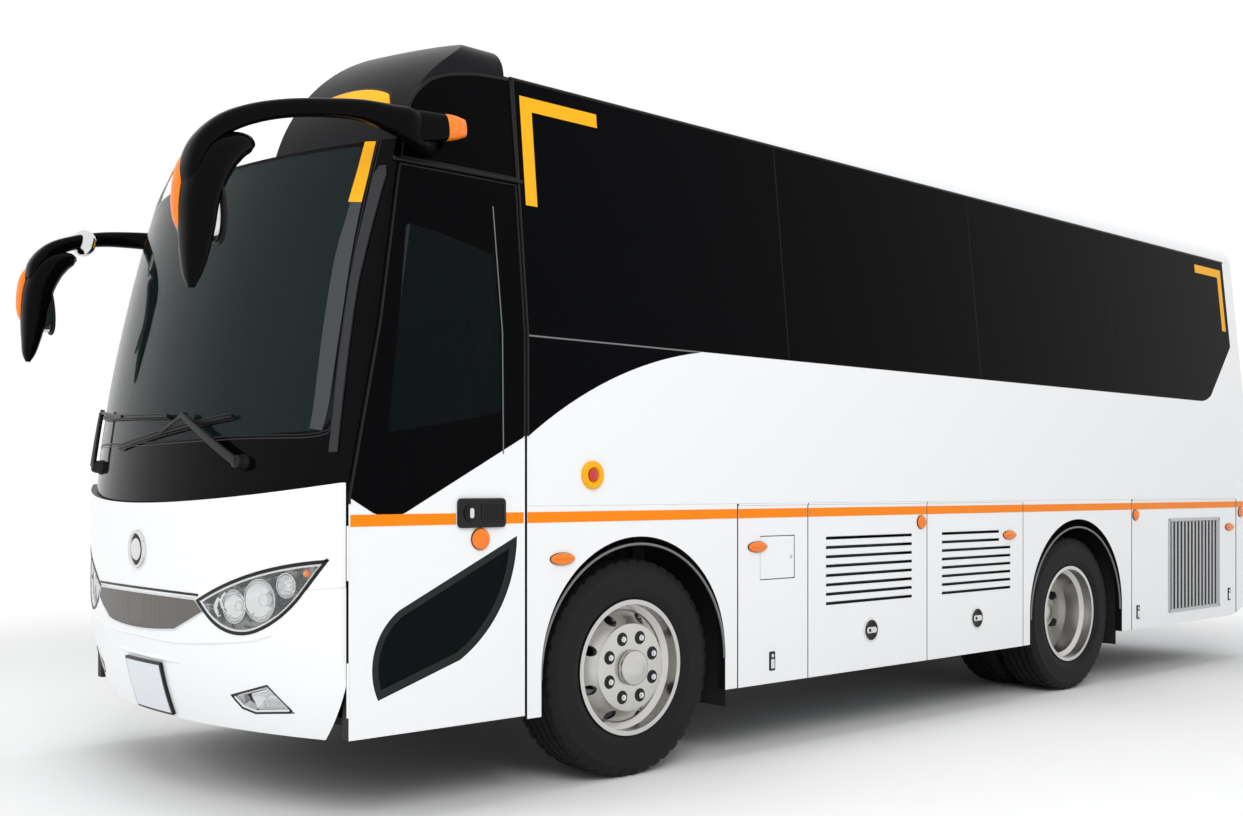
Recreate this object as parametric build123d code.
from build123d import *
import math
import os

# Electric coach, eight metres long. Sizes are in millimetres.
# While it is drawn, X points to the coach's left side, Y runs backwards from the front axle and Z is up
# from the ground. Every piece is moved as it is saved, so that the finished coach has its origin on the
# ground under the middle of its outline.

# Overall sizes
BODY_LENGTH = 7990.0
BODY_WIDTH = 2400.0
ROOF_Z = 3150.0
WHEELBASE = 3750.0
FRONT_OVERHANG = 1745.0
MIRROR_REACH = 335.0
WALL = 45.0

# Lines of the body: heights from the ground, drops from the roof, and the wall's lean at the cant rail
SKIRT_Z = 330.0
BELT_Z = 1195.0
WAIST_Z = 1890.0
CANT_DROP = 195.0
CORNER_DROP = 88.0
CANT_IN = 105.0
CANT_RADIUS = 125.0

# Clearances and seams
SEAT_GAP = 0.3
SEAM = 4.0
PANEL_GAP = 6.0
PIN_GAP = 0.5
PLATE_GAP = 5.0
BEHIND_GAP = 8.0

# Front end: a profile turned about an upright axis gives the bowed bumper, screen and dome
BOW_DEPTH = 270.2
TUCK_DEPTH = 80.0
TUCK_SHARE = 0.3
TUCK_Z = 720.0
LIP_CENTRE_Z = 1208.0
LIP_RISE = 87.0
LIP_STEP = 20.0
SCREEN_TOP_DROP = 550.0
SCREEN_LEAN = 262.0
SCREEN_BULGE = 34.0
DOME_RADIUS = 768.0
DOME_PROUD = 1.0
DOME_SPLIT_X = 560.0
DOME_LAP = 40.0
PILLAR_IN = 160.0

# Glazing
GLASS = 6.0
SCREEN_GLASS = 10.0
SCREEN_CORNER_RADIUS = 60.0

# Passenger door: its rear edge is measured from the front axle
DOOR_WIDTH = 811.0
DOOR_REAR_Y = -632.0
DOOR_BOTTOM_Z = 345.0
DOOR_KNEE_Z = 1240.0
DOOR_HEAD_DROP = 642.0
DOOR_RAKE = 253.0
DOOR_REAR_GAP = 12.0
DOOR_BARREL_RADIUS = 6.0
DOOR_BARREL_SINK = 2.0

# Skirt hatches: seams ahead of and behind each wheel, the charge bay's length and the battery bays' split
FRONT_SEAM_BEHIND = 630.0
CHARGE_BAY = 507.0
BATTERY_SPLIT = 0.508
REAR_SEAM_AHEAD = 640.0
REAR_SEAM_BEHIND = 694.0
TAIL_SEAM_AHEAD = 212.0
HATCH_BARREL_RADIUS = 4.7
HATCH_TOP_DROP = 7.0

# Wheels
TYRE_RADIUS = 479.0
TYRE_WIDTH = 275.0
RIM_RADIUS = 285.75
FLANGE_RADIUS = 298.5
FLANGE_HALF = 122.0
FLANGE_THICK = 8.0
FRONT_TRACK_IN = 170.0
REAR_OUTER_IN = 180.0
TWIN_PITCH = 310.0
KINGPIN_IN = 150.0
KINGPIN_RADIUS = 24.0
SPINDLE_RADIUS = 45.0
REAR_SPINDLE_RADIUS = 60.0
FRONT_ARCH_RADIUS = 545.0
REAR_ARCH_RADIUS = 562.0
ARCH_RISE = 32.0

# Chassis, floor and cabin
RAIL_X = 390.0
RAIL_WIDTH = 80.0
RAIL_LOW_Z = 580.0
RAIL_HIGH_Z = 740.0
FLOOR_LOW_Z = 1090.0
FLOOR_THICK = 30.0
DRIVER_FLOOR_Z = 910.0
LINER = 5.0
FRONT_LINER_REACH = 606.0
REAR_LINER_REACH = 580.0
LINER_INNER_X = 585.0

# Derived places
HALF = BODY_WIDTH / 2
INSIDE = HALF - WALL
BEHIND_X = INSIDE - BEHIND_GAP
REAR_Y = BODY_LENGTH - FRONT_OVERHANG
ORIGIN_Y = (REAR_Y - FRONT_OVERHANG - MIRROR_REACH) / 2
BOW_RADIUS = (HALF**2 + BOW_DEPTH**2) / (2 * BOW_DEPTH)
BOW_AXIS_Y = BOW_RADIUS - FRONT_OVERHANG
CANT_Z = ROOF_Z - CANT_DROP
CORNER_Z = ROOF_Z - CORNER_DROP
LEAN = CANT_IN / (CANT_Z - WAIST_Z)
SCREEN_TOP_Z = ROOF_Z - SCREEN_TOP_DROP
DOOR_FRONT_Y = DOOR_REAR_Y - DOOR_WIDTH
DOOR_TOP_Z = ROOF_Z - DOOR_HEAD_DROP
DOOR_TOP_FRONT_Y = DOOR_FRONT_Y + DOOR_RAKE
DOOR_AXIS_Y = DOOR_FRONT_Y - DOOR_BARREL_RADIUS + DOOR_BARREL_SINK
JAMB_Y = DOOR_AXIS_Y - DOOR_BARREL_RADIUS - SEAT_GAP
POST_Y = DOOR_REAR_Y + DOOR_REAR_GAP
DOME_REAR_Y = POST_Y - DOME_LAP
PILLAR_X = HALF - PILLAR_IN
CHARGE_SEAM_Y = FRONT_SEAM_BEHIND + CHARGE_BAY
REAR_SEAM_Y = WHEELBASE - REAR_SEAM_AHEAD
SPLIT_SEAM_Y = CHARGE_SEAM_Y + BATTERY_SPLIT * (REAR_SEAM_Y - CHARGE_SEAM_Y)
TAIL_HATCH_Y = WHEELBASE + REAR_SEAM_BEHIND
TAIL_SEAM_Y = REAR_Y - TAIL_SEAM_AHEAD
REAR_CORNER_Y = TAIL_SEAM_Y + DOOR_REAR_GAP
HATCH_TOP_Z = BELT_Z - HATCH_TOP_DROP
HATCH_AXIS_Z = BELT_Z - HATCH_BARREL_RADIUS - SEAT_GAP
AXLE_Z = TYRE_RADIUS
ARCH_CENTRE_Z = AXLE_Z + ARCH_RISE
FRONT_TRACK_X = HALF - FRONT_TRACK_IN
REAR_OUTER_X = HALF - REAR_OUTER_IN
REAR_INNER_X = REAR_OUTER_X - TWIN_PITCH
KINGPIN_X = FRONT_TRACK_X - KINGPIN_IN
RAIL_IN_X = RAIL_X - RAIL_WIDTH / 2
RAIL_OUT_X = RAIL_X + RAIL_WIDTH / 2
FLOOR_HIGH_Z = FLOOR_LOW_Z + FLOOR_THICK
FAR = 3 * ROOF_Z
UP = (Align.CENTER, Align.CENTER, Align.MIN)

os.makedirs("parts", exist_ok=True)


# Drawing helpers
def trace(start, *steps):
    """A closed face from lines and arcs. A step is a point, or a pair (via, end) for an arc."""
    edges = []
    here = start
    for step in steps:
        if isinstance(step[0], tuple):
            via, end = step
            edges.append(ThreePointArc(here, via, end))
        else:
            end = step
            edges.append(Line(here, end))
        here = end
    if here != start:
        edges.append(Line(here, start))
    return make_face(edges)


def outline(*points):
    return make_face(Polyline(*points, close=True))


def block(x0, x1, y0, y1, z0, z1):
    return Pos((x0 + x1) / 2, (y0 + y1) / 2, (z0 + z1) / 2) * Box(x1 - x0, y1 - y0, z1 - z0)


def side_prism(face, x0, x1):
    """A face drawn in Y and Z, carried from x0 to x1."""
    placed = Plane((x0, 0, 0), x_dir=(0, 1, 0), z_dir=(1, 0, 0)) * face
    return extrude(placed, amount=x1 - x0, dir=(1, 0, 0))


def front_prism(face, y0, y1):
    """A face drawn in X and Z, carried from y0 to y1."""
    placed = Plane((0, y0, 0), x_dir=(1, 0, 0), z_dir=(0, -1, 0)) * face
    return extrude(placed, amount=y1 - y0, dir=(0, 1, 0))


def rod_x(y, z, radius, x0, x1):
    return Plane((x0, y, z), z_dir=(1, 0, 0)) * Cylinder(radius, x1 - x0, align=UP)


def rod_y(x, z, radius, y0, y1):
    return Plane((x, y0, z), z_dir=(0, 1, 0)) * Cylinder(radius, y1 - y0, align=UP)


def rod_z(x, y, radius, z0, z1):
    return Pos(x, y, z0) * Cylinder(radius, z1 - z0, align=UP)


def bar(path, radius):
    """A round bar along a path."""
    start = Plane(path @ 0, z_dir=path % 0)
    return sweep(start * Circle(radius), path=path)


def other_side(shape):
    return mirror(shape, about=Plane.YZ)


def turned(face):
    """A face drawn in radius and Z, turned about the upright axis of the bowed front."""
    centre = (0, BOW_AXIS_Y, 0)
    placed = Plane(centre, x_dir=(0, 1, 0), z_dir=(1, 0, 0)) * face
    return revolve(placed, axis=Axis(centre, (0, 0, 1)), revolution_arc=360)


def wheel_turned(face, x, y):
    """A face drawn in X and radius, turned about a wheel's axle line."""
    placed = Plane((x, y, AXLE_Z), x_dir=(1, 0, 0), z_dir=(0, -1, 0)) * face
    return revolve(placed, axis=Axis((x, y, AXLE_Z), (1, 0, 0)), revolution_arc=360)


def save(name, *shapes):
    solids = []
    for shape in shapes:
        solids.extend(shape.solids())
    placed = [Pos(0, -ORIGIN_Y, 0) * solid for solid in solids]
    export_step(Compound(children=placed), os.path.join("parts", name + ".step"))


# Body cross-section, walls leaning in above the waist and a crowned roof
def side_x(z, inset=0.0):
    """Half width of the body at a height, below the cant rail's round."""
    return HALF - inset - LEAN * max(z - WAIST_Z, 0.0)


def section_face(inset):
    corner_x = side_x(CORNER_Z, inset)
    corner_z = CORNER_Z - inset
    face = trace(
        (-HALF + inset, SKIRT_Z),
        (HALF - inset, SKIRT_Z),
        (HALF - inset, WAIST_Z),
        (corner_x, corner_z),
        ((0.0, ROOF_Z - inset), (-corner_x, corner_z)),
        (-HALF + inset, WAIST_Z),
    )
    corners = [vertex for vertex in face.vertices() if abs(vertex.Y - corner_z) < 1.0]
    return fillet(corners, CANT_RADIUS - inset)


def section_body(inset, y0, y1):
    return front_prism(section_face(inset), y0, y1)


def wall_slab(depth, z0, z1, y0, y1):
    """The left wall's outer skin to a depth, between two heights."""
    heights = [z0, WAIST_Z, z1] if z0 < WAIST_Z < z1 else [z0, z1]
    outer = [(side_x(z), z) for z in heights]
    inner = [(side_x(z, depth), z) for z in reversed(heights)]
    return front_prism(outline(*outer, *inner), y0, y1)


def skin_piece(face, depth):
    """A sheet of the left wall's outer skin that fills an outline drawn in Y and Z."""
    return wall_slab(depth, SKIRT_Z, CANT_Z, -FAR, FAR) & side_prism(face, 0, FAR)


# Bowed front, lower and upper profiles in radius and Z
SCREEN_LOW_R = BOW_RADIUS - LIP_STEP
SCREEN_TOP_R = SCREEN_LOW_R - SCREEN_LEAN
DOME_CENTRE_Z = ROOF_Z - DOME_RADIUS + DOME_PROUD
DOME_CENTRE_R = SCREEN_TOP_R - math.sqrt(DOME_RADIUS**2 - (SCREEN_TOP_Z - DOME_CENTRE_Z) ** 2)
FRONT_ZONE_Y = -FRONT_OVERHANG / 2


def lower_nose(inset):
    radius = BOW_RADIUS - inset
    top_z = LIP_CENTRE_Z + LIP_RISE + SEAM
    face = trace(
        (0.0, SKIRT_Z),
        (radius - TUCK_DEPTH, SKIRT_Z),
        ((radius - TUCK_SHARE * TUCK_DEPTH, (SKIRT_Z + TUCK_Z) / 2), (radius, TUCK_Z)),
        (radius, top_z),
        (0.0, top_z),
    )
    return turned(face)


def upper_nose(inset):
    low_r = SCREEN_LOW_R - inset
    top_r = SCREEN_TOP_R - inset
    middle = ((low_r + top_r) / 2 + SCREEN_BULGE, (LIP_CENTRE_Z + SCREEN_TOP_Z) / 2)
    dome = DOME_RADIUS - inset
    start = math.atan2(SCREEN_TOP_Z - DOME_CENTRE_Z, top_r - DOME_CENTRE_R)
    half_way = (start + math.pi / 2) / 2
    dome_via = (DOME_CENTRE_R + dome * math.cos(half_way), DOME_CENTRE_Z + dome * math.sin(half_way))
    dome_end = (DOME_CENTRE_R, DOME_CENTRE_Z + dome)
    face = trace(
        (0.0, LIP_CENTRE_Z),
        (low_r, LIP_CENTRE_Z),
        (middle, (top_r, SCREEN_TOP_Z)),
        (dome_via, dome_end),
        (0.0, DOME_CENTRE_Z + dome),
    )
    return turned(face)


LOWER_SHELL = lower_nose(0) & section_body(0, -FAR, JAMB_Y)
LOWER_SHELL = LOWER_SHELL - (lower_nose(WALL) & section_body(WALL, -FAR, 0))
UPPER_OUTER = upper_nose(0) & section_body(0, -FAR, POST_Y)
UPPER_SHELL = UPPER_OUTER - (upper_nose(WALL) & section_body(WALL, -FAR, 0))

# Front bumper and front panel, with lamps and grille let into them
LAMP_DEPTH = 60.0
FOG_DEPTH = 50.0
GRILLE_DEPTH = 40.0
LIP_REACH = HALF + 50.0
# Outlines on the front: distance in from the body's side, and height
PANEL_SEAM = ((710.0, 838.0), (-50.0, 910.0))
HEADLAMP = ((713.0, 830.0), (400.0, 945.0), (47.0, 1006.0), (147.0, 886.0), (240.0, 795.0), (354.0, 731.0),
            (510.0, 712.0), (657.0, 779.0))
GRILLE = ((720.0, 832.0), (670.0, 786.0), (753.0, 749.0), (860.0, 706.0))
GRILLE_MIDDLE = (690.0, 838.0)
FOG_LAMP = ((560.0, 470.0), (348.0, 527.0), (245.0, 425.0), (444.0, 405.0), (510.0, 420.0))


def from_side(table):
    return [(HALF - inward, z) for inward, z in table]


def far_side(points):
    return [(-x, z) for x, z in reversed(points)]


seam = from_side(PANEL_SEAM)
seam_end = seam[-1][0]
seam_face = outline((-seam_end, 0.0), *far_side(seam), *seam, (seam_end, 0.0))
lamp = from_side(HEADLAMP)
headlamp_face = trace(lamp[0], (lamp[1], lamp[2]), lamp[3], (lamp[4], lamp[5]), (lamp[6], lamp[7]))
grille = from_side(GRILLE)
grille_far = far_side(grille)
grille_low_z, grille_high_z = GRILLE_MIDDLE
grille_face = trace(
    grille_far[-1], ((0.0, grille_high_z), grille[0]), *grille[1:], ((0.0, grille_low_z), grille_far[0]),
    *grille_far[1:-1])
fog_face = outline(*from_side(FOG_LAMP))


def lip_face(rise, far_z):
    """The front's region from the lip, which divides the white panel from the black surround, to a height."""
    end_z = LIP_CENTRE_Z + LIP_RISE + rise
    return trace(
        (-LIP_REACH, end_z),
        ((0.0, LIP_CENTRE_Z + rise), (LIP_REACH, end_z)),
        (LIP_REACH, far_z),
        (-LIP_REACH, far_z),
    )


def let_in(face, depth):
    """A piece of the lower front that fills a drawn outline to a depth, flush outside."""
    skin = (lower_nose(0) - lower_nose(depth)) & section_body(0, -FAR, JAMB_Y)
    return skin & front_prism(face, -FAR, FRONT_ZONE_Y)


def front_hole(face):
    return front_prism(offset(face, amount=SEAT_GAP), -FAR, FRONT_ZONE_Y)


below_seam = front_prism(seam_face, -FAR, 0)
bumper = LOWER_SHELL & below_seam
panel = (LOWER_SHELL - below_seam) & front_prism(lip_face(0, 0.0), -FAR, 0)
for hole in (front_hole(headlamp_face), front_hole(grille_face), front_hole(fog_face)):
    bumper = bumper - hole - other_side(hole)
    panel = panel - hole - other_side(hole)
headlamp = let_in(headlamp_face, LAMP_DEPTH)
fog_lamp = let_in(fog_face, FOG_DEPTH)
save("front_bumper", bumper)
save("front_panel", panel)
save("front_lamps", headlamp, other_side(headlamp), fog_lamp, other_side(fog_lamp))
save("grille_bar", let_in(grille_face, GRILLE_DEPTH))

# Doorway, and the screen in its black surround with the pillars
DOOR_SLOPE = DOOR_RAKE / (DOOR_TOP_Z - DOOR_KNEE_Z)
SCREEN_LOW_IN = 100.0
SCREEN_LOW_Z = 1482.0
SCREEN_SAG = 18.0
SCREEN_HEAD_IN = 174.0
SCREEN_HEAD_DROP = 15.0


def door_face(front_gap, rear_gap, top_gap, low_z):
    """The door's outline in Y and Z, grown by gaps."""
    front = DOOR_FRONT_Y - front_gap
    top_z = DOOR_TOP_Z + top_gap
    top_front = DOOR_TOP_FRONT_Y - front_gap + DOOR_SLOPE * top_gap
    rear = DOOR_REAR_Y + rear_gap
    return outline((front, low_z), (front, DOOR_KNEE_Z), (top_front, top_z), (rear, top_z), (rear, low_z))


def screen_face(grow):
    low_x = HALF - SCREEN_LOW_IN + grow
    low_z = SCREEN_LOW_Z - grow
    top_x = HALF - SCREEN_HEAD_IN + grow
    top_z = SCREEN_TOP_Z - SCREEN_HEAD_DROP + grow
    face = trace(
        (-low_x, low_z), ((0.0, low_z - SCREEN_SAG), (low_x, low_z)), (top_x, top_z), (-top_x, top_z))
    return fillet(face.vertices(), SCREEN_CORNER_RADIUS + grow)


jamb_gap = DOOR_FRONT_Y - JAMB_Y
doorway = door_face(jamb_gap, DOOR_REAR_GAP, PANEL_GAP, 0.0)
driver_side = door_face(jamb_gap, DOOR_REAR_GAP, SCREEN_TOP_Z - DOOR_TOP_Z, 0.0)
surround = UPPER_SHELL & front_prism(lip_face(SEAM, FAR), -FAR, 0)
surround = surround & block(-FAR, FAR, -FAR, 0, 0, SCREEN_TOP_Z)
surround = surround - front_prism(screen_face(SEAT_GAP), -FAR, FRONT_ZONE_Y)
surround = surround - side_prism(doorway, PILLAR_X, FAR)
surround = surround - side_prism(driver_side, -FAR, -PILLAR_X)
save("screen_surround", surround)
screen = upper_nose(0) - upper_nose(SCREEN_GLASS)
save("windscreen", screen & front_prism(screen_face(0), -FAR, FRONT_ZONE_Y))

# Dome over the screen: white in the middle, with black corner caps
dome_zone = block(-FAR, FAR, -FAR, DOME_REAR_Y, SCREEN_TOP_Z, FAR)
dome_zone = dome_zone + block(-FAR, FAR, -FAR, POST_Y, SCREEN_TOP_Z, CANT_Z)
dome_all = UPPER_SHELL & dome_zone
dome_cap = dome_all & block(DOME_SPLIT_X, FAR, -FAR, 0, 0, FAR)
save("front_dome", dome_all & block(-DOME_SPLIT_X, DOME_SPLIT_X, -FAR, 0, 0, FAR))
save("dome_caps", dome_cap, other_side(dome_cap))

# Roof, and the rear wall with its rounded corners, window, lamps and louvred lid
REAR_ROUND = 80.0
DEPARTURE_AHEAD = 365.0
DEPARTURE_RISE = 90.0
REAR_WINDOW_X = 850.0
REAR_SILL_RISE = 60.0
REAR_HEAD_DROP = 235.0
LID_X = 780.0
LID_LOW_Z = 470.0
LID_TOP_Z = 1430.0
LID_SLOTS = 7
LID_SLOT_END = 130.0
LID_SLOT_RISE = 150.0
LID_SLOT_PITCH = 70.0
LID_SLOT_HEIGHT = 22.0
TAIL_IN_X = 905.0
TAIL_OUT_X = 1085.0
TAIL_LOW_Z = 880.0
TAIL_TOP_Z = 1330.0
TAIL_DEPTH = 30.0

rear_outer = section_body(0, DOME_REAR_Y, REAR_Y)
rear_face = rear_outer.faces().sort_by(Axis.Y)[-1]
rear_edges = [edge for edge in rear_face.edges() if edge.center().Z > SKIRT_Z + 1.0]
rear_outer = fillet(rear_edges, REAR_ROUND)
rear_shell = rear_outer - section_body(WALL, -FAR, REAR_Y - WALL)
save("roof", rear_shell & block(-FAR, FAR, DOME_REAR_Y, REAR_Y, CANT_Z, FAR))

rear_low_z = WAIST_Z + REAR_SILL_RISE
rear_high_z = CANT_Z - REAR_HEAD_DROP
rear_pane = fillet(Rectangle(2 * REAR_WINDOW_X, rear_high_z - rear_low_z).vertices(), SCREEN_CORNER_RADIUS)
rear_pane = Pos(0, (rear_low_z + rear_high_z) / 2) * rear_pane
tail_lamp = block(TAIL_IN_X, TAIL_OUT_X, REAR_Y - TAIL_DEPTH, REAR_Y, TAIL_LOW_Z, TAIL_TOP_Z)
tail_hole = block(TAIL_IN_X - SEAT_GAP, TAIL_OUT_X + SEAT_GAP, REAR_Y - TAIL_DEPTH - SEAT_GAP, FAR,
                  TAIL_LOW_Z - SEAT_GAP, TAIL_TOP_Z + SEAT_GAP)
lid_hole = block(-LID_X - PANEL_GAP, LID_X + PANEL_GAP, REAR_CORNER_Y, FAR, LID_LOW_Z - PANEL_GAP, LID_TOP_Z)
departure_radius = (DEPARTURE_AHEAD**2 + DEPARTURE_RISE**2) / (2 * DEPARTURE_RISE)
departure_via = departure_radius - math.sqrt(departure_radius**2 - DEPARTURE_AHEAD**2 / 4)
departure_face = trace(
    (REAR_Y - DEPARTURE_AHEAD, SKIRT_Z),
    ((REAR_Y - DEPARTURE_AHEAD / 2, SKIRT_Z + departure_via), (REAR_Y, SKIRT_Z + DEPARTURE_RISE)),
    (FAR, SKIRT_Z + DEPARTURE_RISE), (FAR, 0.0), (REAR_Y - DEPARTURE_AHEAD, 0.0))
departure = side_prism(departure_face, -FAR, FAR)
rear_wall = rear_shell & block(-FAR, FAR, REAR_CORNER_Y, REAR_Y, SKIRT_Z, CANT_Z)
rear_wall = rear_wall - front_prism(offset(rear_pane, amount=SEAT_GAP), REAR_CORNER_Y, FAR)
rear_wall = rear_wall - tail_hole - other_side(tail_hole) - lid_hole - departure
save("rear_wall", rear_wall)
save("rear_glass", front_prism(rear_pane, REAR_Y - SCREEN_GLASS, REAR_Y))
save("tail_lamps", tail_lamp, other_side(tail_lamp))

lid_axis_z = LID_TOP_Z - HATCH_BARREL_RADIUS - SEAT_GAP
motor_lid = block(-LID_X, LID_X, REAR_Y - WALL, REAR_Y, LID_LOW_Z, LID_TOP_Z - HATCH_TOP_DROP)
motor_lid = motor_lid + rod_x(REAR_Y, lid_axis_z, HATCH_BARREL_RADIUS, -LID_X, LID_X)
for index in range(LID_SLOTS):
    slot_z = LID_LOW_Z + LID_SLOT_RISE + index * LID_SLOT_PITCH
    slot_x = LID_X - LID_SLOT_END
    motor_lid = motor_lid - block(-slot_x, slot_x, 0, FAR, slot_z, slot_z + LID_SLOT_HEIGHT)
save("motor_lid", motor_lid)

# Side walls with window openings, bonded panes outside and the black sweep below the first pane
WINDOW_SEAMS = (998.0, 2668.0, 4258.0)
WINDOW_PILLAR = 100.0
SILL_RISE = 70.0
HEAD_DROP = 75.0
LAST_WINDOW_AHEAD = 655.0
RAKE_START_AHEAD = 593.0
RAKE_RISE = 428.0
RAKE_ROUND = ((114.0, 15.0), (192.0, 50.0))
SWEEP_END_Y = 378.0
SWEEP_DROP = 412.0
SWEEP_MIDDLE = (-60.0, 115.0)

glass_front_y = POST_Y + PANEL_GAP
glass_rear_y = REAR_CORNER_Y - PANEL_GAP
glass_top_z = CANT_Z - PANEL_GAP
rake_y = glass_rear_y - RAKE_START_AHEAD
rake_via, rake_end = [(rake_y + along, WAIST_Z + rise) for along, rise in RAKE_ROUND]
band_face = trace(
    (glass_front_y, WAIST_Z), (rake_y, WAIST_Z), (rake_via, rake_end), (glass_rear_y, WAIST_Z + RAKE_RISE),
    (glass_rear_y, glass_top_z), (glass_front_y, glass_top_z))
sweep_via = (SWEEP_MIDDLE[0], WAIST_Z - SWEEP_MIDDLE[1])
sweep_face = trace(
    (glass_front_y, WAIST_Z - SEAM), (SWEEP_END_Y, WAIST_Z - SEAM),
    (sweep_via, (glass_front_y, WAIST_Z - SWEEP_DROP)))
recess = skin_piece(offset(band_face, amount=SEAT_GAP), GLASS + SEAT_GAP)
recess = recess + skin_piece(offset(sweep_face, amount=SEAT_GAP), GLASS + SEAT_GAP)
side_wall = wall_slab(WALL, BELT_Z, CANT_Z, POST_Y, REAR_CORNER_Y) - recess
window_edges = [glass_front_y + WINDOW_PILLAR / 2, *WINDOW_SEAMS, REAR_Y - LAST_WINDOW_AHEAD + WINDOW_PILLAR / 2]
for front_y, rear_y in zip(window_edges[:-1], window_edges[1:]):
    side_wall = side_wall - block(0, FAR, front_y + WINDOW_PILLAR / 2, rear_y - WINDOW_PILLAR / 2,
                                  WAIST_Z + SILL_RISE, CANT_Z - HEAD_DROP)
save("side_wall_left", side_wall)

pane_edges = [glass_front_y - SEAM / 2, *WINDOW_SEAMS, glass_rear_y + SEAM / 2]
band = skin_piece(band_face, GLASS)
panes = []
for front_y, rear_y in zip(pane_edges[:-1], pane_edges[1:]):
    panes.append(band & block(0, FAR, front_y + SEAM / 2, rear_y - SEAM / 2, 0, FAR))
sweep_panel = skin_piece(sweep_face, GLASS)
save("side_glass_left", *panes, sweep_panel)

# Driver's side window on the right, where the left side has its door
PANE_SILL_RISE = 90.0
PANE_HEAD_DROP = 88.0
PANE_FRONT_IN = 113.0
PANE_REAR_IN = 68.0
PANE_RAKE = 210.0

pane_low_z = DOOR_KNEE_Z + PANE_SILL_RISE
pane_high_z = DOOR_TOP_Z - PANE_HEAD_DROP
pane_front_y = DOOR_FRONT_Y + PANE_FRONT_IN
pane_rear_y = DOOR_REAR_Y - PANE_REAR_IN
driver_pane = outline((pane_front_y, pane_low_z), (pane_front_y + PANE_RAKE, pane_high_z),
                      (pane_rear_y, pane_high_z), (pane_rear_y, pane_low_z))
driver_pane = fillet(driver_pane.vertices(), SCREEN_CORNER_RADIUS)
driver_wall = wall_slab(WALL, BELT_Z, SCREEN_TOP_Z, -FAR, POST_Y) & side_prism(driver_side, 0, FAR)
driver_wall = driver_wall - side_prism(offset(driver_pane, amount=SEAT_GAP), 0, FAR)
driver_glass = skin_piece(driver_pane, GLASS)
save("side_wall_right", other_side(side_wall + driver_wall))
save("side_glass_right", *[other_side(piece) for piece in (*panes, sweep_panel, driver_glass)])

# Passenger door, hung at its front edge, with an upper pane and a leaf-shaped lower one
DOOR_PANE_RISE = 234.0
DOOR_PANE_DIP = ((241.0, 66.0), (168.0, 78.0), (98.0, 62.0))
DOOR_HOLE_IN = 93.0
DOOR_HOLE_REAR_IN = 93.0
DOOR_HOLE_DIP = (243.0, 50.0)
DOOR_HOLE_REAR_RISE = 290.0
LEAF_FRONT = ((124.0, 134.0), (102.0, 288.0), (219.0, 465.0))
LEAF_REAR = ((40.0, 730.0), (143.0, 415.0), (319.0, 254.0))
LEAF_RIM = 30.0
BARREL_LENGTH = 200.0
BARREL_RISES = (85.0, 585.0)

pane_dip = [(DOOR_FRONT_Y + along, DOOR_KNEE_Z - drop) for along, drop in DOOR_PANE_DIP]
pane_edge_y = DOOR_FRONT_Y + PANEL_GAP
pane_back_y = DOOR_REAR_Y - PANEL_GAP
door_pane_face = trace(
    (pane_back_y, DOOR_KNEE_Z + DOOR_PANE_RISE), pane_dip[0], (pane_dip[1], pane_dip[2]),
    (pane_edge_y, DOOR_KNEE_Z - BEHIND_GAP), (pane_edge_y, DOOR_KNEE_Z),
    (DOOR_TOP_FRONT_Y + PANEL_GAP, DOOR_TOP_Z - PANEL_GAP), (pane_back_y, DOOR_TOP_Z - PANEL_GAP))
hole_back_y = DOOR_REAR_Y - DOOR_HOLE_REAR_IN
door_hole_face = outline(
    (DOOR_FRONT_Y + DOOR_HOLE_IN + SEAM, pane_low_z), (pane_front_y + PANE_RAKE, pane_high_z),
    (hole_back_y, pane_high_z), (hole_back_y, DOOR_KNEE_Z + DOOR_HOLE_REAR_RISE),
    (DOOR_FRONT_Y + DOOR_HOLE_DIP[0], DOOR_KNEE_Z + DOOR_HOLE_DIP[1]))
leaf_front = [(DOOR_FRONT_Y + along, DOOR_BOTTOM_Z + rise) for along, rise in LEAF_FRONT]
leaf_rear = [(DOOR_REAR_Y - along, DOOR_BOTTOM_Z + rise) for along, rise in LEAF_REAR]
leaf_pane_face = trace(leaf_front[0], (leaf_front[1], leaf_front[2]), leaf_rear[0], (leaf_rear[1], leaf_rear[2]))

door = wall_slab(WALL, DOOR_BOTTOM_Z, DOOR_TOP_Z, -FAR, 0)
door = door & side_prism(door_face(0, 0, 0, DOOR_BOTTOM_Z), 0, FAR)
for face in (door_pane_face, leaf_pane_face):
    door = door - skin_piece(offset(face, amount=SEAT_GAP), GLASS + SEAT_GAP)
door = door - side_prism(door_hole_face, 0, FAR) - side_prism(offset(leaf_pane_face, amount=-LEAF_RIM), 0, FAR)
for rise in BARREL_RISES:
    barrel_z = DOOR_BOTTOM_Z + rise
    door = door + rod_z(HALF, DOOR_AXIS_Y, DOOR_BARREL_RADIUS, barrel_z, barrel_z + BARREL_LENGTH)
save("door_leaf", door)
save("door_glass", skin_piece(door_pane_face, GLASS), skin_piece(leaf_pane_face, GLASS))


# Fixed skirt panels round the wheels
def arch(y, radius):
    cut = rod_x(y, ARCH_CENTRE_Z, radius, 0, FAR)
    return cut + block(0, FAR, y - radius, y + radius, 0, ARCH_CENTRE_Z)


def fender(y0, y1, arch_y, radius):
    return block(INSIDE, HALF, y0, y1, SKIRT_Z, BELT_Z) - arch(arch_y, radius)


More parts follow.
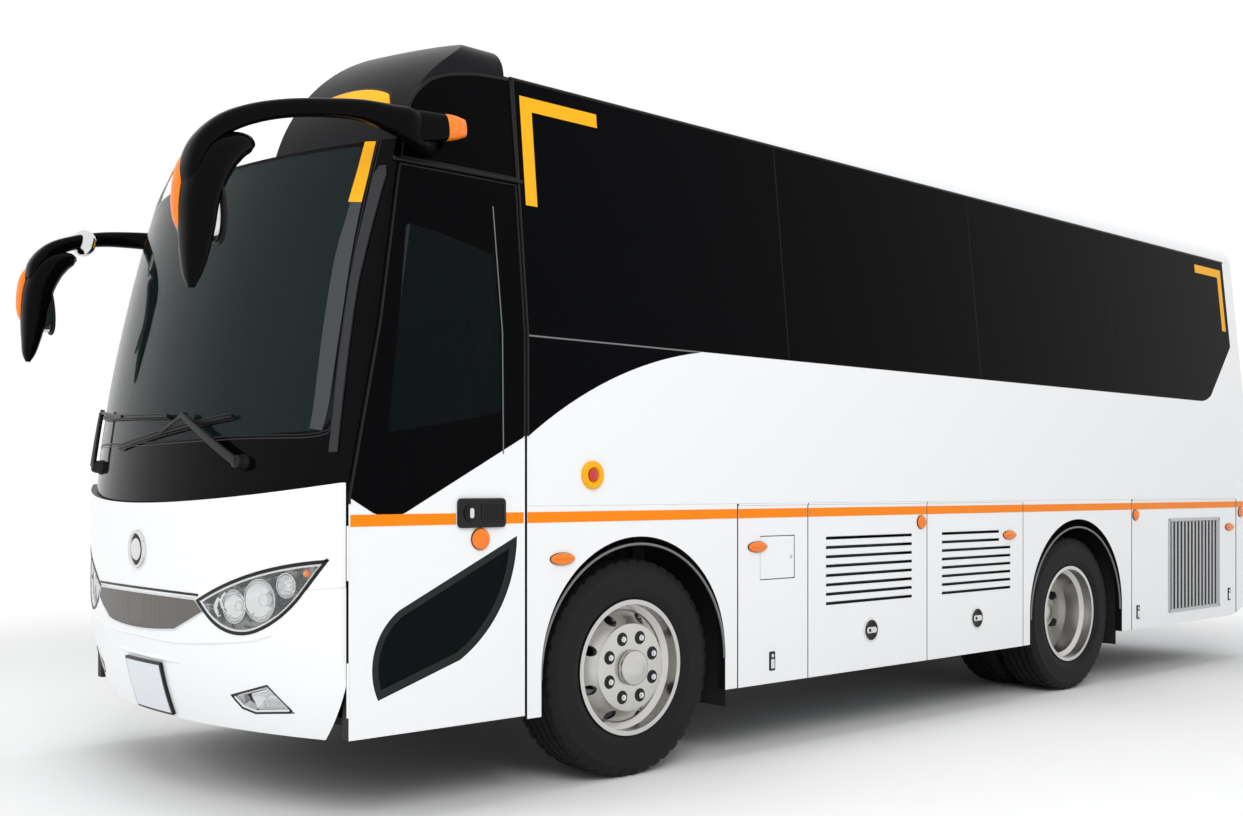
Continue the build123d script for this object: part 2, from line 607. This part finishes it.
front_fender = fender(POST_Y, FRONT_SEAM_BEHIND - PANEL_GAP / 2, 0, FRONT_ARCH_RADIUS)
right_fender = fender(JAMB_Y, FRONT_SEAM_BEHIND - PANEL_GAP / 2, 0, FRONT_ARCH_RADIUS)
rear_fender = fender(REAR_SEAM_Y + PANEL_GAP / 2, TAIL_HATCH_Y - PANEL_GAP / 2, WHEELBASE, REAR_ARCH_RADIUS)
save("fenders_left", front_fender, rear_fender)
save("fenders_right", other_side(right_fender), other_side(rear_fender))

# Skirt hatches, hung at their top edges
LOUVRES = 8
LOUVRE_RISE = 350.0
LOUVRE_PITCH = 47.0
LOUVRE_HEIGHT = 20.0
LOUVRE_END = 140.0
SHORT_ROWS = 2
SHORT_END = 260.0
GRILLE_BARS = 13
GRILLE_SHARES = (0.341, 0.813)
GRILLE_LOW_RISE = 104.0
GRILLE_TOP_DROP = 160.0
FLAP_REAR_IN = 105.0
FLAP_LENGTH = 240.0
FLAP_HEIGHT = 202.0
FLAP_TOP_DROP = 160.0
FLAP_DEPTH = 12.0
FLAP_BARREL = 3.0


def hatch(y0, y1):
    leaf = block(INSIDE, HALF, y0, y1, SKIRT_Z, HATCH_TOP_Z)
    return leaf + rod_y(HALF, HATCH_AXIS_Z, HATCH_BARREL_RADIUS, y0, y1)


def louvred(y0, y1, short_rows, short_end):
    """A hatch between two seams with rows of slots, of which the top ones may end sooner."""
    leaf = hatch(y0 + PANEL_GAP / 2, y1 - PANEL_GAP / 2)
    for row in range(LOUVRES):
        z = SKIRT_Z + LOUVRE_RISE + row * LOUVRE_PITCH
        end = LOUVRE_END if row < LOUVRES - short_rows else short_end
        leaf = leaf - block(0, FAR, y0 + LOUVRE_END, y1 - end, z, z + LOUVRE_HEIGHT)
    return leaf


def grilled(y0, y1):
    """A hatch with an upright grille, whose slots are as wide as its bars."""
    leaf = hatch(y0, y1)
    first, last = [y0 + share * (y1 - y0) for share in GRILLE_SHARES]
    step = (last - first) / (2 * GRILLE_BARS + 1)
    for index in range(GRILLE_BARS):
        y = first + step * (2 * index + 0.5)
        leaf = leaf - block(0, FAR, y, y + step, SKIRT_Z + GRILLE_LOW_RISE, BELT_Z - GRILLE_TOP_DROP)
    return leaf


charge_plain = hatch(FRONT_SEAM_BEHIND + PANEL_GAP / 2, CHARGE_SEAM_Y - PANEL_GAP / 2)
louvre_first = louvred(CHARGE_SEAM_Y, SPLIT_SEAM_Y, 0, LOUVRE_END)
louvre_second = louvred(SPLIT_SEAM_Y, REAR_SEAM_Y, SHORT_ROWS, SHORT_END)
rear_hatch = grilled(TAIL_HATCH_Y + PANEL_GAP / 2, TAIL_SEAM_Y) - departure
flap_y1 = CHARGE_SEAM_Y - FLAP_REAR_IN
flap_y0 = flap_y1 - FLAP_LENGTH
flap_z1 = BELT_Z - FLAP_TOP_DROP
flap_z0 = flap_z1 - FLAP_HEIGHT
flap_axis_y = flap_y0 - FLAP_BARREL
pocket = block(HALF - FLAP_DEPTH - PLATE_GAP, FAR, flap_axis_y - FLAP_BARREL - SEAT_GAP, flap_y1 + PLATE_GAP,
               flap_z0 - PLATE_GAP, flap_z1 + PLATE_GAP)
charge_flap = block(HALF - FLAP_DEPTH, HALF, flap_axis_y + FLAP_BARREL / 2, flap_y1, flap_z0, flap_z1)
charge_flap = charge_flap + rod_z(HALF, flap_axis_y, FLAP_BARREL, flap_z0, flap_z1)
save("charge_hatch_left", charge_plain - pocket)
save("charge_flap", charge_flap)
save("front_hatch_right", other_side(charge_plain))
save("battery_hatch_left_1", louvre_first)
save("battery_hatch_right_1", other_side(louvre_first))
save("battery_hatch_left_2", louvre_second)
save("battery_hatch_right_2", other_side(louvre_second))
save("rear_hatch_left", rear_hatch)
save("rear_hatch_right", other_side(rear_hatch))

# Tyres: many-sided rings with a flat to stand on, which keeps all of them light
TYRE_SIDES = 44
BEAD_GAP = 2.0
BEAD_RISE = 6.0
SHOULDER_DROP = 30.0
SHOULDER_IN = 8.0
TREAD_IN = 22.0


def ring_corners(x, y, radius):
    """Corners of a many-sided ring round an axle line, with a flat at the bottom."""
    reach = radius / math.cos(math.pi / TYRE_SIDES)
    turns = [2 * math.pi * (side + 0.5) / TYRE_SIDES - math.pi / 2 for side in range(TYRE_SIDES)]
    return [(x, y + reach * math.cos(turn), AXLE_Z + reach * math.sin(turn)) for turn in turns]


def tyre(x, y):
    half = TYRE_WIDTH / 2
    shoulder = TYRE_RADIUS - SHOULDER_DROP
    bead = FLANGE_HALF - FLANGE_THICK - BEAD_GAP
    side = ((bead, RIM_RADIUS + PIN_GAP), (bead, FLANGE_RADIUS + BEAD_RISE),
            (half, (FLANGE_RADIUS + shoulder) / 2), (half - SHOULDER_IN, shoulder), (half - TREAD_IN, TYRE_RADIUS))
    rings = [ring_corners(x - across, y, radius) for across, radius in side]
    rings += [ring_corners(x + across, y, radius) for across, radius in reversed(side)]
    faces = []
    for ring, following in zip(rings, rings[1:] + rings[:1]):
        for corner in range(TYRE_SIDES):
            after = (corner + 1) % TYRE_SIDES
            edge = Wire.make_polygon([ring[corner], ring[after], following[after], following[corner]])
            faces.append(Face(edge))
    return Solid(Shell(faces))


front_tyre = tyre(FRONT_TRACK_X, 0)
rear_tyres = [tyre(REAR_OUTER_X, WHEELBASE), tyre(REAR_INNER_X, WHEELBASE)]
save("tyre_front_left", front_tyre)
save("tyre_front_right", other_side(front_tyre))
save("tyres_rear_left", *rear_tyres)
save("tyres_rear_right", *[other_side(piece) for piece in rear_tyres])

# Rims: a barrel with its well, and a disc with hand holes
WELL_DEPTH = 26.0
WELL_HALF = 44.0
WELL_RAMP = 18.0
SKIN_SHIFT = 4.0
HAND_HOLES = 8
HUB_RADIUS = 95.0
HUB_BACK = 70.0
DISC_LAP = 4.0
# Front disc, a cone that stands in the well: outer then inner face, as distance outboard of the wheel's middle
# and radius. Its hand holes: circle and radius
FRONT_DISC_OUT = ((104.0, 198.0), (114.0, 192.0), (117.0, 184.0), (117.0, 74.0), (140.0, 70.0), (140.0, 0.0))
FRONT_DISC_ROOT = (18.0, 36.0)
FRONT_CAP_X = 126.0
FRONT_DISC_IN = ((100.0, 182.0), (88.0, 190.0))
FRONT_HOLES = (223.0, 23.0)
# Rear twin disc: the same, from the middle of the pair
TWIN_HOLES = (212.0, 33.0)
TWIN_RIM_X = 250.0
TWIN_DISC_HALF = 14.0
TWIN_CONE_HALF = 26.0
TWIN_CONE_R = 225.0
TWIN_BOLT_R = 180.0
TWIN_HUB_R = 120.0
TWIN_HUB_OUT = ((95.0, 110.0), (110.0, 90.0))
TWIN_CAP_THICK = 14.0
TWIN_HUB_BACK = 60.0
TWIN_LIP_NEAR = 66.0
TWIN_LIP_FAR = 48.0
TWIN_LIP_DROP = 30.0


def barrel(x, y):
    seat = FLANGE_HALF - FLANGE_THICK
    skin = RIM_RADIUS - FLANGE_THICK
    well = RIM_RADIUS - WELL_DEPTH
    ramp = WELL_HALF + WELL_RAMP
    side = ((WELL_HALF, well), (ramp, RIM_RADIUS), (seat, RIM_RADIUS), (seat, FLANGE_RADIUS),
            (FLANGE_HALF, FLANGE_RADIUS), (FLANGE_HALF, skin), (ramp + SKIN_SHIFT, skin),
            (WELL_HALF + SKIN_SHIFT, well - FLANGE_THICK))
    mirrored = [(-across, radius) for across, radius in reversed(side)]
    return wheel_turned(outline(*side, *mirrored), x, y)


def hand_holes(rim, holes, x0, x1, y):
    circle, radius = holes
    for index in range(HAND_HOLES):
        angle = 2 * math.pi * (index + 0.5) / HAND_HOLES
        hole_y = y + circle * math.cos(angle)
        hole_z = AXLE_Z + circle * math.sin(angle)
        rim = rim - rod_x(hole_y, hole_z, radius, x0, x1)
    return rim


def front_rim(x):
    bore = SPINDLE_RADIUS + PIN_GAP
    lap = RIM_RADIUS - WELL_DEPTH - DISC_LAP
    disc = outline(
        (FRONT_DISC_ROOT[0], lap), (FRONT_DISC_ROOT[1], lap), *FRONT_DISC_OUT, (FRONT_CAP_X, 0.0),
        (FRONT_CAP_X, bore), (-HUB_BACK, bore), (-HUB_BACK, HUB_RADIUS), (FRONT_DISC_IN[0][0], HUB_RADIUS),
        *FRONT_DISC_IN)
    rim = barrel(x, 0) + wheel_turned(disc, x, 0)
    return hand_holes(rim, FRONT_HOLES, x, x + TYRE_WIDTH, 0)


def rear_rim(x):
    bore = REAR_SPINDLE_RADIUS + PIN_GAP
    reach = TWIN_PITCH / 2
    lip = RIM_RADIUS - DISC_LAP
    low_lip = RIM_RADIUS - TWIN_LIP_DROP
    out_x, out_r = TWIN_HUB_OUT[1]
    disc = outline(
        (-TWIN_DISC_HALF, TWIN_RIM_X), (TWIN_DISC_HALF, TWIN_RIM_X), (reach - TWIN_LIP_NEAR, lip),
        (reach - TWIN_LIP_FAR, low_lip), (TWIN_CONE_HALF, TWIN_CONE_R), (TWIN_DISC_HALF, TWIN_BOLT_R),
        (TWIN_DISC_HALF, TWIN_HUB_R), *TWIN_HUB_OUT, (out_x, 0.0), (out_x - TWIN_CAP_THICK, 0.0),
        (out_x - TWIN_CAP_THICK, bore), (-TWIN_HUB_BACK, bore), (-TWIN_HUB_BACK, TWIN_HUB_R),
        (-TWIN_DISC_HALF, TWIN_HUB_R), (-TWIN_DISC_HALF, TWIN_BOLT_R), (-TWIN_CONE_HALF, TWIN_CONE_R),
        (TWIN_LIP_FAR - reach, low_lip), (TWIN_LIP_NEAR - reach, lip))
    rim = wheel_turned(disc, x, WHEELBASE) + barrel(x + reach, WHEELBASE) + barrel(x - reach, WHEELBASE)
    return hand_holes(rim, TWIN_HOLES, x - TWIN_HUB_BACK, x + TWIN_HUB_BACK, WHEELBASE)


REAR_HUB_X = (REAR_OUTER_X + REAR_INNER_X) / 2
front_wheel_rim = front_rim(FRONT_TRACK_X)
rear_wheel_rim = rear_rim(REAR_HUB_X)
save("rim_front_left", front_wheel_rim)
save("rim_front_right", other_side(front_wheel_rim))
save("rims_rear_left", rear_wheel_rim)
save("rims_rear_right", other_side(rear_wheel_rim))

# Steering knuckles and axles
SPINDLE_REACH = 100.0
BOSS_RADIUS = 55.0
BOSS_HALF = 80.0
STEER_ARM = (18.0, 190.0, 60.0, 25.0)
EYE_THICK = 34.0
EYE_RADIUS = 45.0
FORK_GAP = 6.0
FORK_IN = 45.0
FORK_OUT = 5.0
AXLE_BEAM = 60.0
SPRING_SEAT_HALF = 110.0
REAR_TUBE = 75.0
REAR_TUBE_SHORT = 150.0
REAR_SPINDLE_REACH = 90.0
DIFF_RADIUS = 190.0
DIFF_HALF = 110.0

arm_half, arm_reach, arm_low, arm_high = STEER_ARM
knuckle = rod_z(KINGPIN_X, 0, BOSS_RADIUS, AXLE_Z - BOSS_HALF, AXLE_Z + BOSS_HALF)
knuckle = knuckle + rod_x(0, AXLE_Z, SPINDLE_RADIUS, KINGPIN_X, FRONT_TRACK_X + SPINDLE_REACH)
knuckle = knuckle + block(KINGPIN_X - arm_half, KINGPIN_X + arm_half, 0, arm_reach, AXLE_Z - arm_low,
                          AXLE_Z - arm_high)
knuckle = knuckle - rod_z(KINGPIN_X, 0, KINGPIN_RADIUS + PIN_GAP, 0, FAR)
save("knuckle_left", knuckle)
save("knuckle_right", other_side(knuckle))

eye_low = AXLE_Z - BOSS_HALF - FORK_GAP - EYE_THICK
eye_high = AXLE_Z + BOSS_HALF + FORK_GAP
fork_end = KINGPIN_X - BOSS_RADIUS - FORK_GAP - FORK_OUT
fork = block(fork_end - FORK_IN, fork_end, -EYE_RADIUS, EYE_RADIUS, eye_low, eye_high + EYE_THICK)
for eye_z in (eye_low, eye_high):
    fork = fork + block(fork_end - FORK_IN, KINGPIN_X, -EYE_RADIUS, EYE_RADIUS, eye_z, eye_z + EYE_THICK)
    fork = fork + rod_z(KINGPIN_X, 0, EYE_RADIUS, eye_z, eye_z + EYE_THICK)
fork = fork + rod_z(KINGPIN_X, 0, KINGPIN_RADIUS, eye_low, eye_high + EYE_THICK)
beam_end = fork_end - FORK_IN / 2
beam = block(-beam_end, beam_end, -AXLE_BEAM, AXLE_BEAM, AXLE_Z - AXLE_BEAM, AXLE_Z + AXLE_BEAM)
spring_seat = block(RAIL_IN_X, RAIL_OUT_X, -SPRING_SEAT_HALF, SPRING_SEAT_HALF, AXLE_Z, RAIL_LOW_Z)
save("front_axle", beam + fork + other_side(fork) + spring_seat + other_side(spring_seat))

tube_end = REAR_INNER_X - REAR_TUBE_SHORT
spindle_end = REAR_HUB_X + REAR_SPINDLE_REACH
rear_tube = rod_x(WHEELBASE, AXLE_Z, REAR_TUBE, -tube_end, tube_end)
rear_tube = rear_tube + rod_x(WHEELBASE, AXLE_Z, REAR_SPINDLE_RADIUS, -spindle_end, spindle_end)
rear_tube = rear_tube + rod_x(WHEELBASE, AXLE_Z, DIFF_RADIUS, -DIFF_HALF, DIFF_HALF)
rear_seat = Pos(0, WHEELBASE, 0) * spring_seat
save("rear_axle", rear_tube + rear_seat + other_side(rear_seat))

# Drive motor between the rails with its shaft to the axle, and the battery packs behind the hatches
MOTOR_BEHIND = 810.0
MOTOR_LENGTH = 690.0
MOTOR_LOW_Z = 430.0
MOTOR_HEIGHT = 450.0
SHAFT_RADIUS = 45.0
PACK_LOW_Z = 420.0
PACK_HEIGHT = 580.0
PACK_IN = 35.0
PACK_END = 45.0

motor_y = WHEELBASE + MOTOR_BEHIND
motor = block(-RAIL_IN_X, RAIL_IN_X, motor_y, motor_y + MOTOR_LENGTH, MOTOR_LOW_Z, MOTOR_LOW_Z + MOTOR_HEIGHT)
motor = motor + rod_y(0, AXLE_Z, SHAFT_RADIUS, WHEELBASE + DIFF_RADIUS + SEAT_GAP, motor_y)
save("drive_motor", motor)
packs = []
for front_y, rear_y in ((CHARGE_SEAM_Y, SPLIT_SEAM_Y), (SPLIT_SEAM_Y, REAR_SEAM_Y)):
    pack = block(RAIL_OUT_X, INSIDE - PACK_IN, front_y + PACK_END, rear_y - PACK_END, PACK_LOW_Z,
                 PACK_LOW_Z + PACK_HEIGHT)
    packs.extend([pack, other_side(pack)])
save("battery_packs", *packs)

# Frame of separate members: rails, cross-members, and portals of posts and bearers that carry the floor
MEMBER_HALF = 30.0
BEARER = 60.0
NOSE_MEMBER_AHEAD = 445.0
TAIL_PORTAL_GAP = 20.0
TOW_FRONT_AHEAD = 185.0
TOW_REAR_AHEAD = 125.0
TOW_BORE = 20.0
# Tow lug: half thickness, half length, and the bore's drop below the rail
TOW_LUG = (15.0, 35.0, 60.0)
# Jacking pad: half width, half length and thickness, and its places behind the front axle and the rear one
JACK_PAD = (40.0, 80.0, 12.0)
JACK_BEHIND = (900.0, 850.0)

tow_front_y = TOW_FRONT_AHEAD - FRONT_OVERHANG
tow_rear_y = REAR_Y - TOW_REAR_AHEAD
nose_member_y = NOSE_MEMBER_AHEAD - FRONT_OVERHANG
lug_half, lug_reach, lug_drop = TOW_LUG
portals = [FRONT_LINER_REACH + MEMBER_HALF + PLATE_GAP, CHARGE_SEAM_Y, SPLIT_SEAM_Y, REAR_SEAM_Y, TAIL_HATCH_Y,
           tow_rear_y - lug_reach - MEMBER_HALF - TAIL_PORTAL_GAP]

rail = block(RAIL_IN_X, RAIL_OUT_X, -FRONT_OVERHANG, REAR_Y - WALL - SEAT_GAP, RAIL_LOW_Z, RAIL_HIGH_Z)
rail = rail & (lower_nose(WALL + SEAT_GAP) + block(0, FAR, 0, FAR, 0, FAR))
members = [rail, other_side(rail)]
cross_x = RAIL_IN_X - SEAT_GAP
for y in (nose_member_y, *portals):
    members.append(block(-cross_x, cross_x, y - MEMBER_HALF, y + MEMBER_HALF, RAIL_LOW_Z, RAIL_HIGH_Z))
for y in (tow_front_y, tow_rear_y):
    members.append(block(-cross_x, cross_x, y - lug_reach, y + lug_reach, RAIL_LOW_Z, RAIL_HIGH_Z))
for y in portals:
    post = block(RAIL_IN_X, RAIL_OUT_X, y - MEMBER_HALF, y + MEMBER_HALF, RAIL_HIGH_Z + SEAT_GAP,
                 FLOOR_LOW_Z - BEARER - SEAT_GAP)
    members.extend([post, other_side(post)])
    members.append(block(-BEHIND_X, BEHIND_X, y - MEMBER_HALF, y + MEMBER_HALF, FLOOR_LOW_Z - BEARER, FLOOR_LOW_Z))
platform_low_z = DRIVER_FLOOR_Z - FLOOR_THICK
members.append(block(-RAIL_OUT_X, -RAIL_IN_X, nose_member_y, nose_member_y + BEARER, RAIL_HIGH_Z + SEAT_GAP,
                     platform_low_z))
save("chassis_frame", *members)

frame_points = []
bore_z = RAIL_LOW_Z - SEAT_GAP - lug_drop
for y in (tow_front_y, tow_rear_y):
    lug = block(-lug_half, lug_half, y - lug_reach, y + lug_reach, bore_z, RAIL_LOW_Z - SEAT_GAP)
    lug = lug + rod_x(y, bore_z, lug_reach, -lug_half, lug_half)
    frame_points.append(lug - rod_x(y, bore_z, TOW_BORE, -FAR, FAR))
pad_half, pad_reach, pad_thick = JACK_PAD
for y in (JACK_BEHIND[0], WHEELBASE + JACK_BEHIND[1]):
    pad = block(RAIL_X - pad_half, RAIL_X + pad_half, y - pad_reach, y + pad_reach,
                RAIL_LOW_Z - SEAT_GAP - pad_thick, RAIL_LOW_Z - SEAT_GAP)
    frame_points.extend([pad, other_side(pad)])
save("tow_and_jack_points", *frame_points)

# Floor with the driver's platform and a ledge under each side wall, and the entrance steps
STEPS = 3
STEP_X = 470.0
STEP_LOW_Z = 380.0
STEP_FRONT_IN = 43.0
BULKHEAD = 26.0
FLOOR_AHEAD = 34.0
LEDGE = 40.0
LEDGE_RISE = 65.0

floor_front_y = -FRONT_LINER_REACH - FLOOR_AHEAD
floor_rear_y = REAR_Y - WALL - SEAT_GAP
step_front_y = DOOR_FRONT_Y + STEP_FRONT_IN
bulkhead_y = floor_front_y + BULKHEAD
ledge_z = BELT_Z + LEDGE_RISE
floor = block(-BEHIND_X, BEHIND_X, floor_front_y, floor_rear_y, FLOOR_LOW_Z, FLOOR_HIGH_Z)
ledge = block(BEHIND_X - LEDGE, BEHIND_X, floor_front_y, floor_rear_y, FLOOR_HIGH_Z, ledge_z)
ledge = ledge + block(BEHIND_X - LEDGE, INSIDE, floor_front_y, floor_rear_y, BELT_Z, ledge_z)
platform = block(-BEHIND_X, STEP_X, step_front_y, bulkhead_y, platform_low_z, DRIVER_FLOOR_Z)
platform = platform + block(-BEHIND_X, STEP_X, floor_front_y, bulkhead_y, DRIVER_FLOOR_Z, FLOOR_HIGH_Z)
save("floor_deck", floor + ledge + other_side(ledge) + platform)

stair = block(STEP_X - FLOOR_THICK, STEP_X, step_front_y, bulkhead_y, STEP_LOW_Z, platform_low_z)
stair = stair + block(STEP_X, BEHIND_X, floor_front_y, bulkhead_y, STEP_LOW_Z, FLOOR_LOW_Z)
step_run = (BEHIND_X - STEP_X) / STEPS
step_rise = (DRIVER_FLOOR_Z - STEP_LOW_Z - FLOOR_THICK) / STEPS
for index in range(STEPS):
    step_x = STEP_X + index * step_run
    step_z = DRIVER_FLOOR_Z - (index + 1) * step_rise
    tread_low = step_z - FLOOR_THICK
    stair = stair + block(step_x, step_x + step_run, step_front_y, floor_front_y, tread_low, step_z)
    stair = stair + block(step_x, step_x + FLOOR_THICK, step_front_y, floor_front_y, tread_low, step_z + step_rise)
save("entrance_steps", stair)

# Wheel-arch liners with the mud flaps behind each wheel
LINER_RISE = 60.0
FLAP_LOW_Z = 240.0
MUD_FLAP_WIDTH = 290.0


def liner(y, reach):
    low_z = SKIRT_Z + LINER_RISE
    outer = block(LINER_INNER_X, BEHIND_X, y - reach, y + reach, low_z, FLOOR_LOW_Z)
    inner = block(0, FAR, y - reach + LINER, y + reach - LINER, 0, FLOOR_LOW_Z - LINER)
    mud_flap = block(BEHIND_X - MUD_FLAP_WIDTH, BEHIND_X, y + reach - LINER, y + reach, FLAP_LOW_Z, low_z)
    return (outer - inner) + mud_flap


liners = [liner(0, FRONT_LINER_REACH), liner(WHEELBASE, REAR_LINER_REACH)]
save("arch_liners", *liners, *[other_side(piece) for piece in liners])

# Seats, drawn in Y and Z from the front edge of the cushion and the floor under it
SEAT_ROWS = 8
SEAT_PITCH = 760.0
FIRST_SEAT_BEHIND = 290.0
SEAT_INNER_X = 320.0
SEAT_OUTER_IN = 75.0
SEAT_LOW = 330.0
SEAT_FOOT = (120.0, 60.0, 230.0)
DRIVER_INNER_X = 360.0
DRIVER_OUTER_X = 860.0
DRIVER_AHEAD = 235.0

seat_face = trace(
    (0.0, SEAT_LOW), (0.0, 420.0), ((60.0, 462.0), (120.0, 450.0)), (390.0, 430.0), (500.0, 1050.0),
    ((545.0, 1090.0), (585.0, 1050.0)), (500.0, 420.0), ((470.0, 345.0), (400.0, SEAT_LOW)))


def seat(x0, x1, y, floor_z):
    foot_half, foot_front, foot_rear = SEAT_FOOT
    middle = (x0 + x1) / 2
    foot = block(middle - foot_half, middle + foot_half, y + foot_front, y + foot_rear, floor_z, floor_z + SEAT_LOW)
    return side_prism(Pos(y, floor_z) * seat_face, x0, x1) + foot


seats = []
for row in range(SEAT_ROWS):
    seat_y = POST_Y + FIRST_SEAT_BEHIND + row * SEAT_PITCH
    pair = seat(SEAT_INNER_X, INSIDE - SEAT_OUTER_IN, seat_y, FLOOR_HIGH_Z)
    seats.extend([pair, other_side(pair)])
save("passenger_seats", *seats)
driver_y = floor_front_y - DRIVER_AHEAD
save("driver_seat", seat(-DRIVER_OUTER_X, -DRIVER_INNER_X, driver_y, DRIVER_FLOOR_Z))

# Dashboard with the steering wheel on its column
DASH_LEFT_X = 240.0
DASH_RIGHT_X = -1070.0
DASH_HEIGHT = 420.0
# Dashboard's rear side: distance behind its front and height above the driver's floor
DASH_REAR = ((90.0, 500.0), (210.0, 450.0), (250.0, 320.0), (170.0, 0.0))
COLUMN_PLACE = (-610.0, 200.0, 320.0)
COLUMN_LEAN = (0.0, 0.55, 0.83)
COLUMN_RADIUS = 30.0
COLUMN_LENGTH = 190.0
WHEEL_RING = 220.0
WHEEL_ROD = 16.0
WHEEL_SPOKE = 50.0
WHEEL_HUB = 70.0

dash_rear = [(step_front_y + along, DRIVER_FLOOR_Z + rise) for along, rise in DASH_REAR]
dash_face = trace(
    (step_front_y, DRIVER_FLOOR_Z), (step_front_y, DRIVER_FLOOR_Z + DASH_HEIGHT), (dash_rear[0], dash_rear[1]),
    dash_rear[2], dash_rear[3])
column_x, column_behind, column_rise = COLUMN_PLACE
column = Plane((column_x, step_front_y + column_behind, DRIVER_FLOOR_Z + column_rise), z_dir=COLUMN_LEAN)
hub_plane = column.offset(COLUMN_LENGTH)
steering = column * Cylinder(COLUMN_RADIUS, COLUMN_LENGTH, align=UP)
steering = steering + hub_plane * Torus(WHEEL_RING, WHEEL_ROD)
steering = steering + hub_plane * Box(2 * WHEEL_RING, WHEEL_SPOKE, WHEEL_ROD)
steering = steering + hub_plane * Cylinder(WHEEL_HUB, 2 * WHEEL_ROD)
save("dashboard", side_prism(dash_face, DASH_RIGHT_X, DASH_LEFT_X) + steering)

# Screen wipers, lying just in front of the bowed screen
# Each one: pivot x, pivot z, and the x and z of its blade's two ends
WIPERS = (
    (716.0, 1364.0, -290.0, 1440.0, 642.0, 1545.0),
    (-716.0, 1364.0, -760.0, 1590.0, 200.0, 1560.0),
)
ARM_RADIUS = 9.0
BLADE_RADIUS = 8.0
BLADE_OFF = 14.0
ARM_OFF = 38.0
PIVOT_RADIUS = 24.0
PIVOT_OFF = 52.0


def screen_y(x, z):
    """Outer face of the upper front at a place, from its turned profile."""
    share = (z - LIP_CENTRE_Z) / (SCREEN_TOP_Z - LIP_CENTRE_Z)
    radius = SCREEN_LOW_R - SCREEN_LEAN * share + 4 * SCREEN_BULGE * share * (1 - share)
    return BOW_AXIS_Y - math.sqrt(radius**2 - x**2)


def on_screen(place, off):
    x, z = place
    return (x, screen_y(x, z) - off, z)


def between(first, second):
    return ((first[0] + second[0]) / 2, (first[1] + second[1]) / 2)


wipers = []
for pivot_x, pivot_z, end_x, end_z, far_x, far_z in WIPERS:
    pivot_at = (pivot_x, pivot_z)
    middle = between((end_x, end_z), (far_x, far_z))
    blade_path = ThreePointArc(on_screen((end_x, end_z), BLADE_OFF), on_screen(middle, BLADE_OFF),
                               on_screen((far_x, far_z), BLADE_OFF))
    arm_path = ThreePointArc(on_screen(pivot_at, ARM_OFF), on_screen(between(pivot_at, middle), ARM_OFF),
                             on_screen(middle, BLADE_OFF))
    pivot_y = screen_y(pivot_x, pivot_z)
    pivot = rod_y(pivot_x, pivot_z, PIVOT_RADIUS, pivot_y - PIVOT_OFF, pivot_y + WALL / 2) - UPPER_OUTER
    wipers.append(bar(blade_path, BLADE_RADIUS) + bar(arm_path, ARM_RADIUS) + pivot)
save("wipers", *wipers)

# Mirrors on arms from the dome's corners
HEAD_IN = 20.0
HEAD_WIDE = 100.0
HEAD_DEEP = 70.0
HEAD_HOLD = 420.0
ARM_THICK = 46.0
# Head sections: height above the tip, half width, half depth
HEAD_SECTIONS = ((0.0, 26.0, 22.0), (150.0, 74.0, 50.0), (290.0, 95.0, 66.5), (400.0, HEAD_WIDE, HEAD_DEEP),
                 (480.0, 91.0, 63.0), (530.0, 58.0, 40.0))
# Arms: distance in from the body's side, place behind the bumper and drop below the roof at each bend
LEFT_TIP_DROP = 1205.0
LEFT_ARM = ((140.0, 735.0, 555.0), (-5.0, 505.0, 555.0), (-22.0, 25.0, 555.0))
LEFT_BEND_DROP = 600.0
LEFT_BENDS = (120.0, 200.0, 90.0)
RIGHT_BEHIND = 15.0
RIGHT_TIP_DROP = 1278.0
RIGHT_ARM = ((160.0, 635.0, 630.0), (25.0, 475.0, 630.0), (0.0, 145.0, 655.0))
RIGHT_BEND_DROP = 745.0
RIGHT_BENDS = (110.0, 180.0, 80.0)


def mirror_unit(arm, bends, head_y, bend_drop, tip_drop):
    """An arm through its bends to the head, and the drop-shaped head that hangs from it."""
    head_x = HALF - HEAD_IN
    tip_z = ROOF_Z - tip_drop
    points = [(HALF - inward, behind - FRONT_OVERHANG, ROOF_Z - drop) for inward, behind, drop in arm]
    points += [(head_x, head_y, ROOF_Z - bend_drop), (head_x, head_y, tip_z + HEAD_HOLD)]
    sections = [Pos(head_x, head_y, tip_z + rise) * Ellipse(wide, deep) for rise, wide, deep in HEAD_SECTIONS]
    return (bar(FilletPolyline(*points, radius=bends), ARM_THICK) - UPPER_OUTER) + loft(sections)


left_y = HEAD_DEEP - FRONT_OVERHANG - MIRROR_REACH
right_y = -RIGHT_BEHIND - FRONT_OVERHANG
save("mirror_left", mirror_unit(LEFT_ARM, LEFT_BENDS, left_y, LEFT_BEND_DROP, LEFT_TIP_DROP))
save("mirror_right", other_side(mirror_unit(RIGHT_ARM, RIGHT_BENDS, right_y, RIGHT_BEND_DROP, RIGHT_TIP_DROP)))
